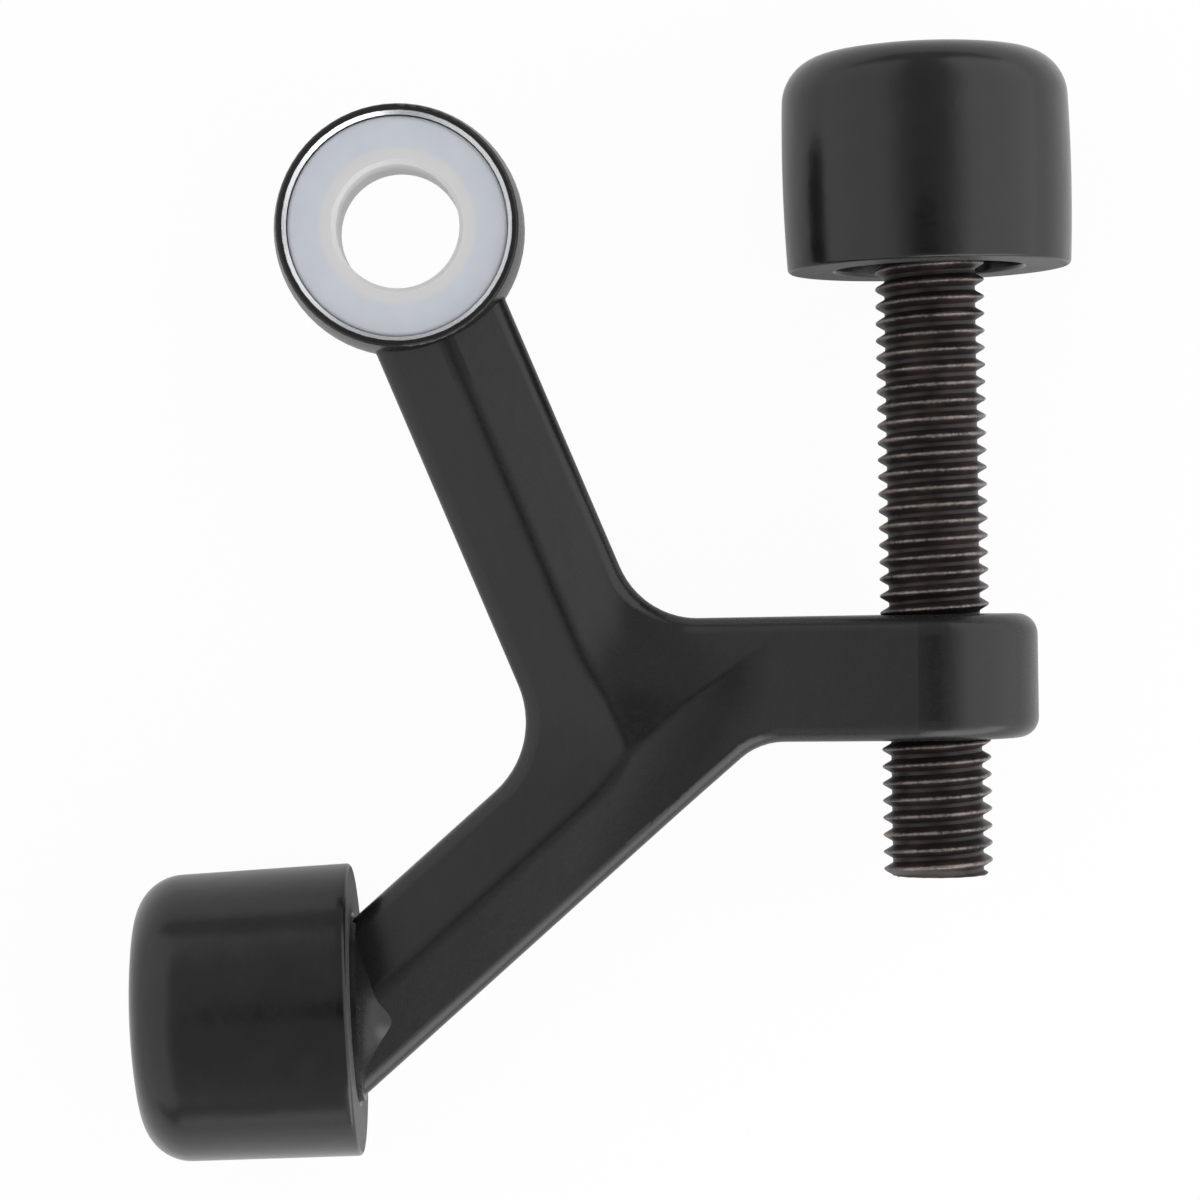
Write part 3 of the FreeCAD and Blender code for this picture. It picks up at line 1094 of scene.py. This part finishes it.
@dataclass(frozen=True)
class StudioWhite(Finish):
    """White of the table: plain white to the camera with a trace of the shadow, painted otherwise."""

    name = "studio_white"
    paint = colour(0.97, 0.97, 0.97)
    shadow_share = 0.045
    gloss_share = 0.1

    def surface(self, sheet: NodeSheet) -> Signal:
        """White paint, mixed with a glow that is most of what the camera sees and a bit for gloss.

        Args:
            sheet: The material's sheet.

        Returns:
            The shader.
        """
        painted = sheet.node("ShaderNodeBsdfDiffuse", {"Color": self.paint})
        to_camera = sheet.ray_is("Camera").at_least(sheet.ray_is("Transmission"))
        in_gloss = sheet.ray_is("Glossy") * self.gloss_share
        seen = (to_camera * (1.0 - self.shadow_share)).at_least(in_gloss)
        return sheet.node("ShaderNodeMixShader", {0: seen, 1: painted, 2: sheet.glow(1.0)})


@dataclass(frozen=True)
class SoftLight(Finish):
    """Glow of a studio panel, which fades to the tent's own level along its inner edge.

    The fade runs along X, from the place of the inner edge.
    """

    edge_x: float
    fade: float
    level: float
    dim_level: float
    name = "soft_light"

    def surface(self, sheet: NodeSheet) -> Signal:
        """Emission whose strength rises with the distance from the inner edge."""
        along_x, _, _ = sheet.axes(sheet.place())
        return sheet.glow(abs(along_x - self.edge_x).ramp(0.0, self.fade, self.dim_level, self.level))


@dataclass(frozen=True)
class DarkFront(Finish):
    """Black front of the camera, soft towards its rim, as the gloss of the part sees it."""

    centre: Vector
    half_width: float
    half_height: float
    softness: float
    name = "dark_front"
    paint = colour(0.01, 0.01, 0.01)

    def surface(self, sheet: NodeSheet) -> Signal:
        """Black in the middle and clear at the rim.

        Args:
            sheet: The material's sheet.

        Returns:
            The shader.
        """
        along_x, along_y, _ = sheet.axes(sheet.place())
        past_side = abs(along_x - self.centre.x) - (self.half_width - self.softness)
        past_top = abs(along_y - self.centre.y) - (self.half_height - self.softness)
        clear = past_side.at_least(0.0).diagonal(past_top.at_least(0.0)).ramp(0.0, self.softness)
        black = sheet.node("ShaderNodeBsdfDiffuse", {"Color": self.paint})
        through = sheet.node("ShaderNodeBsdfTransparent")
        return sheet.node("ShaderNodeMixShader", {0: clear, 1: black, 2: through})


class Studio:
    """White table, two soft panels left and right, a dim tent between them, and the camera."""

    camera_place = Vector((14.26, -27.32, 283.0)) * MM
    camera_roll = -0.9
    clip_start = 10.0 * MM
    focal_pixels = 3857.0
    picture_pixels = 1200.0
    sensor = 36.0
    table_half = 1.5
    panel_height = 285.0 * MM
    panel_reach = 640.0 * MM
    panel_length = 1400.0 * MM
    panel_edges = {"left_panel": -42.0 * MM, "right_panel": 88.0 * MM}
    panel_fades = {"left_panel": 120.0 * MM, "right_panel": 105.0 * MM}
    panel_levels = {"left_panel": 1.05, "right_panel": 1.45}
    gap_level = 0.42
    front_place = Vector((-9.0, -27.0, 290.0)) * MM
    front_half_width = 78.0 * MM
    front_half_height = 52.0 * MM
    front_softness = 30.0 * MM
    low_front_level = 1.2
    low_front_cone = (0.96, 1.0)
    low_panel_corner = Vector((0.0, -205.0, 100.0)) * MM
    low_panel_width = 300.0 * MM
    low_panel_fade = 30.0 * MM
    low_panel_level = 3.0

    def __init__(self) -> None:
        """Put the table just under the lowest point of the door stop."""
        low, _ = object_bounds()
        self.table_height = low.z

    def build(self) -> None:
        """Make the table, the lights and the camera."""
        ground = Vector((0.0, 0.0, self.table_height))
        self._sheet("table", self._level(ground, self.table_half, self.table_half), StudioWhite(), True)
        log.info("table at %.2f mm", self.table_height / MM)
        for name in self.panel_edges:
            self._panel(name)
        self._low_panel()
        self._camera_front()
        self._tent()
        self._camera()

    @staticmethod
    def _level(centre: Vector, half_width: float, half_height: float) -> list[Vector]:
        """Corners of a level rectangle."""
        return [centre + Vector((half_width * across, half_height * along, 0.0))
                for across, along in ((-1, -1), (1, -1), (1, 1), (-1, 1))]

    def _panel(self, name: str) -> None:
        """Slanting panel from beside the camera down to the table.

        Args:
            name: Name of the panel, by which its inner edge, soft fade and level are looked up.
        """
        edge = self.panel_edges[name]
        half = self.panel_length / 2
        outer = edge + math.copysign(self.panel_reach, edge)
        corners = [(edge, -half, self.panel_height), (outer, -half, self.table_height),
                   (outer, half, self.table_height), (edge, half, self.panel_height)]
        self._sheet(name, corners, SoftLight(edge, self.panel_fades[name], self.panel_levels[name],
                                             self.gap_level))

    def _low_panel(self) -> None:
        """Low panel in front on the right, which lights the rims that face it."""
        x, y, z = self.low_panel_corner
        far = x + self.low_panel_width
        corners = [(x, y, self.table_height), (far, y, self.table_height), (far, y, z), (x, y, z)]
        light = SoftLight(x, self.low_panel_fade, self.low_panel_level, self.gap_level)
        self._sheet("low_panel", corners, light)

    def _camera_front(self) -> None:
        """Dark front of the camera, which the camera's own view passes."""
        sizes = (self.front_place, self.front_half_width, self.front_half_height)
        self._sheet("camera_front", self._level(*sizes), DarkFront(*sizes, self.front_softness))

    @staticmethod
    def _sheet(name: str, corners: list, finish: Finish, seen: bool = False) -> None:
        """Make a flat sheet of the studio, which isn't part of the door stop.

        Args:
            name: Name of the sheet.
            corners: Its four corners.
            finish: Its finish.
            seen: Whether the camera sees it.
        """
        mesh = bmesh.new()
        mesh.faces.new([mesh.verts.new(corner) for corner in corners])
        data = bpy.data.meshes.new(name)
        mesh.to_mesh(data)
        mesh.free()
        dress(data, finish.material())
        sheet = placed(name, data)
        sheet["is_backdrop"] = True
        sheet.visible_camera = seen

    def _tent(self) -> None:
        """World light: a dim tent, brighter low down in front of the door stop."""
        world = bpy.data.worlds.new("light_tent")
        bpy.context.scene.world = world
        world.use_nodes = True
        sheet = NodeSheet(world.node_tree)
        _, along_y, _ = sheet.axes(sheet.node("ShaderNodeTexCoord", output="Generated"))
        low_front = (-along_y).ramp(*self.low_front_cone)
        level = self.gap_level + low_front * (self.low_front_level - self.gap_level)
        strength = level + sheet.ray_is("Camera") * (1.0 - level)
        light = sheet.node("ShaderNodeBackground", {"Color": WHITE, "Strength": strength})
        sheet.node("ShaderNodeOutputWorld", {"Surface": light})

    def _camera(self) -> None:
        """Camera above the door stop, looking down the hinge pin."""
        data = bpy.data.cameras.new("camera")
        data.sensor_width = self.sensor
        data.lens = self.focal_pixels / self.picture_pixels * self.sensor
        data.clip_start = self.clip_start
        camera = placed("camera", data)
        camera.location = self.camera_place
        camera.rotation_euler = (0.0, 0.0, math.radians(self.camera_roll))
        bpy.context.scene.camera = camera


def screw_sizes() -> ThreadForm:
    """Sizes of the screw, read from its solid.

    Returns:
        The thread's form, in place.
    """
    low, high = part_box(Node.SCREW.value)
    head_thickness = 3.0 * MM
    return ThreadForm(axis_x=(low.x + high.x) / 2, tip_y=low.y, head_y=high.y - head_thickness,
                      head_end_y=high.y, head_radius=(high.x - low.x) / 2)


def bumper_sizes() -> dict[Node, BumperForm]:
    """Sizes of the two bumpers, with their places on the screw and on the stud.

    Returns:
        The form of each bumper.
    """
    screw = screw_sizes()
    lean = 0.8
    disc_radius = 8.0 * MM
    disc_gap = 0.05 * MM
    lip_to_head = BumperForm.lip_depth + disc_gap + disc_radius * math.sin(math.radians(lean))
    stud_angle = 182.0
    return {
        Node.SCREW_BUMPER: BumperForm(
            rim_centre=Vector((screw.axis_x, screw.head_y - lip_to_head, 0.0)),
            axis=heading(90.0 + lean), rim_radius=10.37 * MM, belly=0.14 * MM),
        Node.FIXED_BUMPER: BumperForm(
            rim_centre=Skeleton().stud_seat,
            axis=heading(stud_angle), rim_radius=10.68 * MM, belly=0.0),
    }


def main() -> None:
    """Load the frame, dress it, and build the studio around it."""
    logging.basicConfig(level=logging.INFO, format="%(name)s: %(message)s")
    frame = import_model()

    Bracket(frame["nodes"]).dress()
    screw = ThreadedScrew(screw_sizes(), BlackOxideThread().material())
    screw.piece().settle(Body.SCREW, Node.SCREW)
    rubber = MouldedRubber().material()
    bodies = {Node.SCREW_BUMPER: Body.SLIDING_BUMPER, Node.FIXED_BUMPER: Body.BRACKET}
    for node, form in bumper_sizes().items():
        MouldedBumper(f"moulded_{node.value}", form, rubber).piece().settle(bodies[node], node)

    bpy.context.scene.view_settings.view_transform = "Standard"
    Studio().build()


if __name__ == "__main__":
    main()
